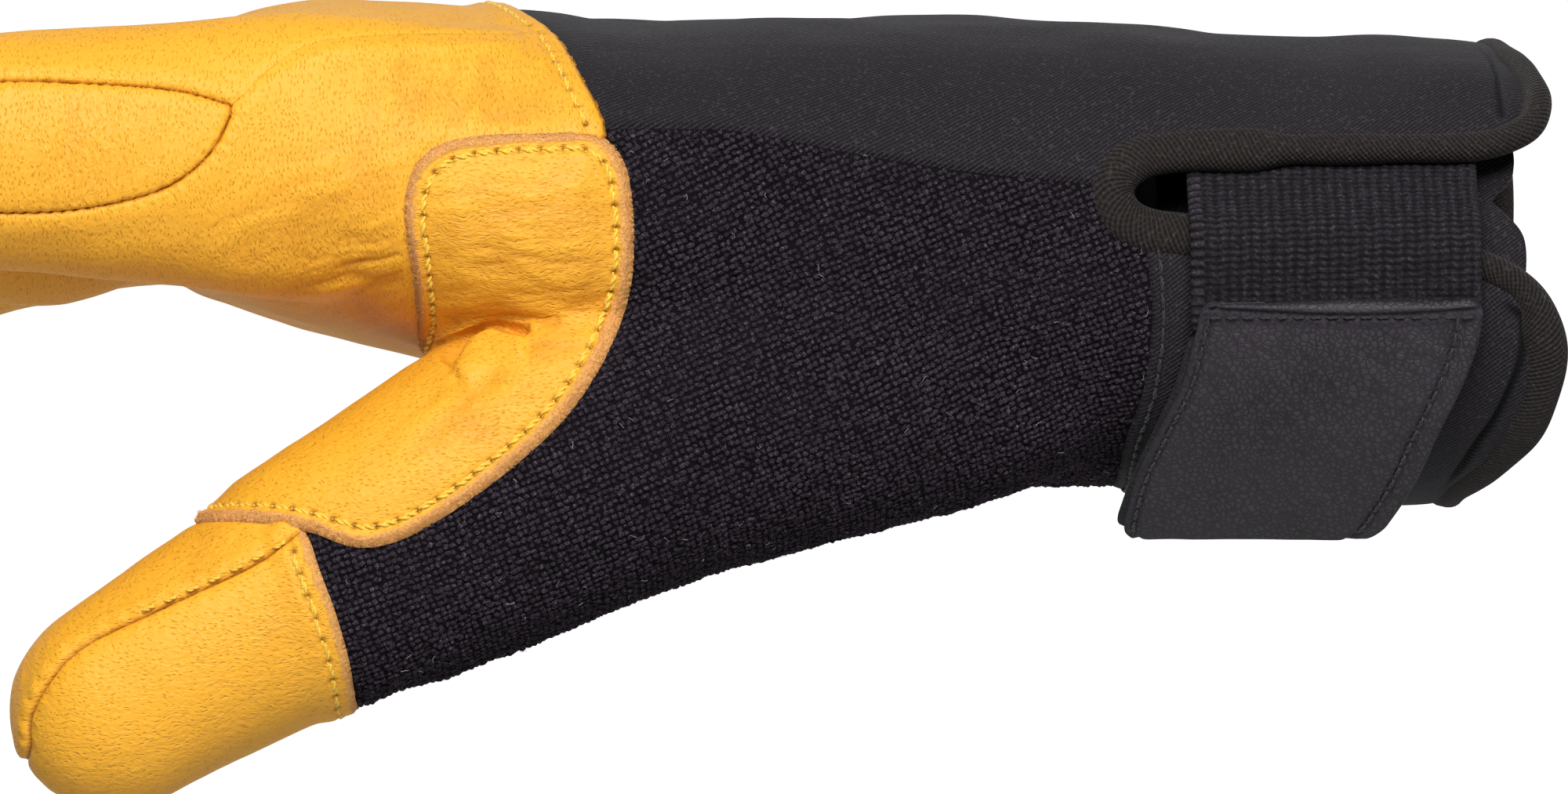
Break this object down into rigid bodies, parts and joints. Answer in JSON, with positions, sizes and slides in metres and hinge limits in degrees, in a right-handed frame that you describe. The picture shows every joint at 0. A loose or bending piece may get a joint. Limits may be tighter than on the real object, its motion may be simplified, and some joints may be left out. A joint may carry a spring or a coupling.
{
  "type": "mountaineering glove",
  "caption": "Right-hand leather and softshell mountaineering glove with a terry thumb side and an elastic closing strap over a slit cuff.",
  "frame": {"origin": "middle of the wrist opening, on the plane of the cuff mouth", "axes": "+X out of the wrist opening towards the forearm, so the fingers point along -X; -Y is the thumb side; +Z is the back of the hand"},
  "size_m": [0.2557, 0.1097, 0.0966],
  "materials": {
    "leather": "golden goat leather with fine pebbled grain",
    "terry": "black knitted terry",
    "softshell": "black stretch twill softshell",
    "twill": "stuffed black twill binding",
    "elastic": "ribbed black woven elastic",
    "black_leather": "matte black leather with fine grain",
    "hook_tape": "black fastening tape"
  },
  "bodies": {
    "root": {"back_leather": "leather", "palm_leather": "leather", "index_side_strip": "leather", "little_side_strip": "leather", "fourchette_1": "leather", "fourchette_2": "leather", "fourchette_3": "leather", "thumb_patch": "leather", "thumb_tip_palm": "leather", "thumb_tip_back": "leather", "terry_panel": "terry", "back_softshell": "softshell", "cuff_palm": "softshell", "slit_gusset": "softshell", "cuff_binding": "twill", "strap_elastic": "elastic", "strap_tab": "black_leather", "hook_pad": "hook_tape"}
  },
  "joints": []
}
